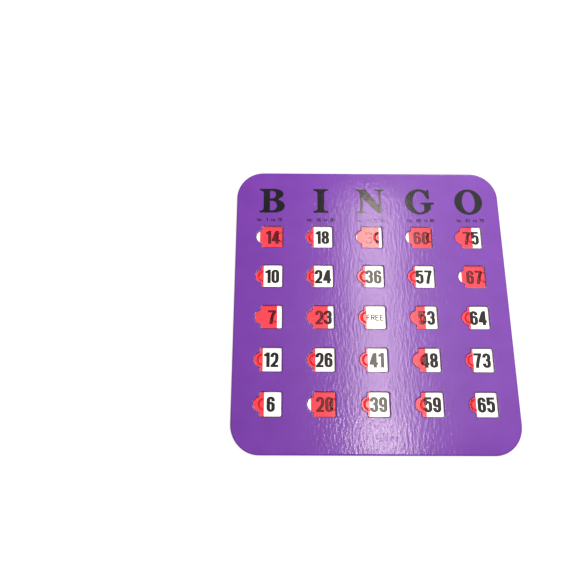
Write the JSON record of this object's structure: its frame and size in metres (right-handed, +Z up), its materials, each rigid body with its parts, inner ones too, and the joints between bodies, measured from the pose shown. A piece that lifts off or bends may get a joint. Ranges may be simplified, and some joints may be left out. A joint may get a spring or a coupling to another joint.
{
  "type": "shutter-slide bingo card",
  "caption": "Square laminated board card with round corners and a grid of notched windows, each with a thin red shutter that slides over a printed number.",
  "frame": {"origin": "middle of the card's back face, which the card lies on", "axes": "+Z up out of the face, +Y towards the heading at the top of the card, +X to the right-hand column"},
  "size_m": [0.197, 0.202, 0.0032],
  "materials": {
    "face_sheet": "gloss laminate over print",
    "window_board": "matt",
    "spacer": "matt",
    "number_sheet": "satin",
    "back_board": "matt",
    "shutter": "gloss, see-through"
  },
  "bodies": {
    "card": {"back_board": "back_board", "number_sheet": "number_sheet", "window_board": "window_board", "face_sheet": "face_sheet", "spacer_top": "spacer", "spacer_1_2": "spacer", "spacer_2_3": "spacer", "spacer_3_4": "spacer", "spacer_4_5": "spacer", "spacer_bottom": "spacer", "spacer_left": "spacer", "spacer_right": "spacer"},
    "shutter_b1": {"shutter_b1": "shutter"},
    "shutter_i1": {"shutter_i1": "shutter"},
    "shutter_n1": {"shutter_n1": "shutter"},
    "shutter_g1": {"shutter_g1": "shutter"},
    "shutter_o1": {"shutter_o1": "shutter"},
    "shutter_b2": {"shutter_b2": "shutter"},
    "shutter_i2": {"shutter_i2": "shutter"},
    "shutter_n2": {"shutter_n2": "shutter"},
    "shutter_g2": {"shutter_g2": "shutter"},
    "shutter_o2": {"shutter_o2": "shutter"},
    "shutter_b3": {"shutter_b3": "shutter"},
    "shutter_i3": {"shutter_i3": "shutter"},
    "shutter_n3": {"shutter_n3": "shutter"},
    "shutter_g3": {"shutter_g3": "shutter"},
    "shutter_o3": {"shutter_o3": "shutter"},
    "shutter_b4": {"shutter_b4": "shutter"},
    "shutter_i4": {"shutter_i4": "shutter"},
    "shutter_n4": {"shutter_n4": "shutter"},
    "shutter_g4": {"shutter_g4": "shutter"},
    "shutter_o4": {"shutter_o4": "shutter"},
    "shutter_b5": {"shutter_b5": "shutter"},
    "shutter_i5": {"shutter_i5": "shutter"},
    "shutter_n5": {"shutter_n5": "shutter"},
    "shutter_g5": {"shutter_g5": "shutter"},
    "shutter_o5": {"shutter_o5": "shutter"}
  },
  "joints": [
    {"name": "slide_b1", "type": "slide", "parent": "card", "child": "shutter_b1", "axis": [1, 0, 0], "range_m": [-0.0144, 0]},
    {"name": "slide_i1", "type": "slide", "parent": "card", "child": "shutter_i1", "axis": [1, 0, 0], "range_m": [-0.00101, 0.01339]},
    {"name": "slide_n1", "type": "slide", "parent": "card", "child": "shutter_n1", "axis": [1, 0, 0], "range_m": [-0.01267, 0.00173]},
    {"name": "slide_g1", "type": "slide", "parent": "card", "child": "shutter_g1", "axis": [1, 0, 0], "range_m": [-0.0144, 0]},
    {"name": "slide_o1", "type": "slide", "parent": "card", "child": "shutter_o1", "axis": [1, 0, 0], "range_m": [-0.00821, 0.00619]},
    {"name": "slide_b2", "type": "slide", "parent": "card", "child": "shutter_b2", "axis": [1, 0, 0], "range_m": [-0.00115, 0.01325]},
    {"name": "slide_i2", "type": "slide", "parent": "card", "child": "shutter_i2", "axis": [1, 0, 0], "range_m": [-0.00115, 0.01325]},
    {"name": "slide_n2", "type": "slide", "parent": "card", "child": "shutter_n2", "axis": [1, 0, 0], "range_m": [-0.00158, 0.01282]},
    {"name": "slide_g2", "type": "slide", "parent": "card", "child": "shutter_g2", "axis": [1, 0, 0], "range_m": [-0.00115, 0.01325]},
    {"name": "slide_o2", "type": "slide", "parent": "card", "child": "shutter_o2", "axis": [1, 0, 0], "range_m": [-0.0144, 0]},
    {"name": "slide_b3", "type": "slide", "parent": "card", "child": "shutter_b3", "axis": [1, 0, 0], "range_m": [-0.01109, 0.00331]},
    {"name": "slide_i3", "type": "slide", "parent": "card", "child": "shutter_i3", "axis": [1, 0, 0], "range_m": [-0.01051, 0.00389]},
    {"name": "slide_n3", "type": "slide", "parent": "card", "child": "shutter_n3", "axis": [1, 0, 0], "range_m": [-0.00115, 0.01325]},
    {"name": "slide_g3", "type": "slide", "parent": "card", "child": "shutter_g3", "axis": [1, 0, 0], "range_m": [-0.00634, 0.00806]},
    {"name": "slide_o3", "type": "slide", "parent": "card", "child": "shutter_o3", "axis": [1, 0, 0], "range_m": [-0.00158, 0.01282]},
    {"name": "slide_b4", "type": "slide", "parent": "card", "child": "shutter_b4", "axis": [1, 0, 0], "range_m": [-0.00144, 0.01296]},
    {"name": "slide_i4", "type": "slide", "parent": "card", "child": "shutter_i4", "axis": [1, 0, 0], "range_m": [-0.0013, 0.0131]},
    {"name": "slide_n4", "type": "slide", "parent": "card", "child": "shutter_n4", "axis": [1, 0, 0], "range_m": [-0.00115, 0.01325]},
    {"name": "slide_g4", "type": "slide", "parent": "card", "child": "shutter_g4", "axis": [1, 0, 0], "range_m": [-0.00475, 0.00965]},
    {"name": "slide_o4", "type": "slide", "parent": "card", "child": "shutter_o4", "axis": [1, 0, 0], "range_m": [-0.00101, 0.01339]},
    {"name": "slide_b5", "type": "slide", "parent": "card", "child": "shutter_b5", "axis": [1, 0, 0], "range_m": [-0.00274, 0.01166]},
    {"name": "slide_i5", "type": "slide", "parent": "card", "child": "shutter_i5", "axis": [1, 0, 0], "range_m": [-0.0144, 0]},
    {"name": "slide_n5", "type": "slide", "parent": "card", "child": "shutter_n5", "axis": [1, 0, 0], "range_m": [-0.00115, 0.01325]},
    {"name": "slide_g5", "type": "slide", "parent": "card", "child": "shutter_g5", "axis": [1, 0, 0], "range_m": [-0.00288, 0.01152]},
    {"name": "slide_o5", "type": "slide", "parent": "card", "child": "shutter_o5", "axis": [1, 0, 0], "range_m": [-0.00029, 0.01411]}
  ]
}
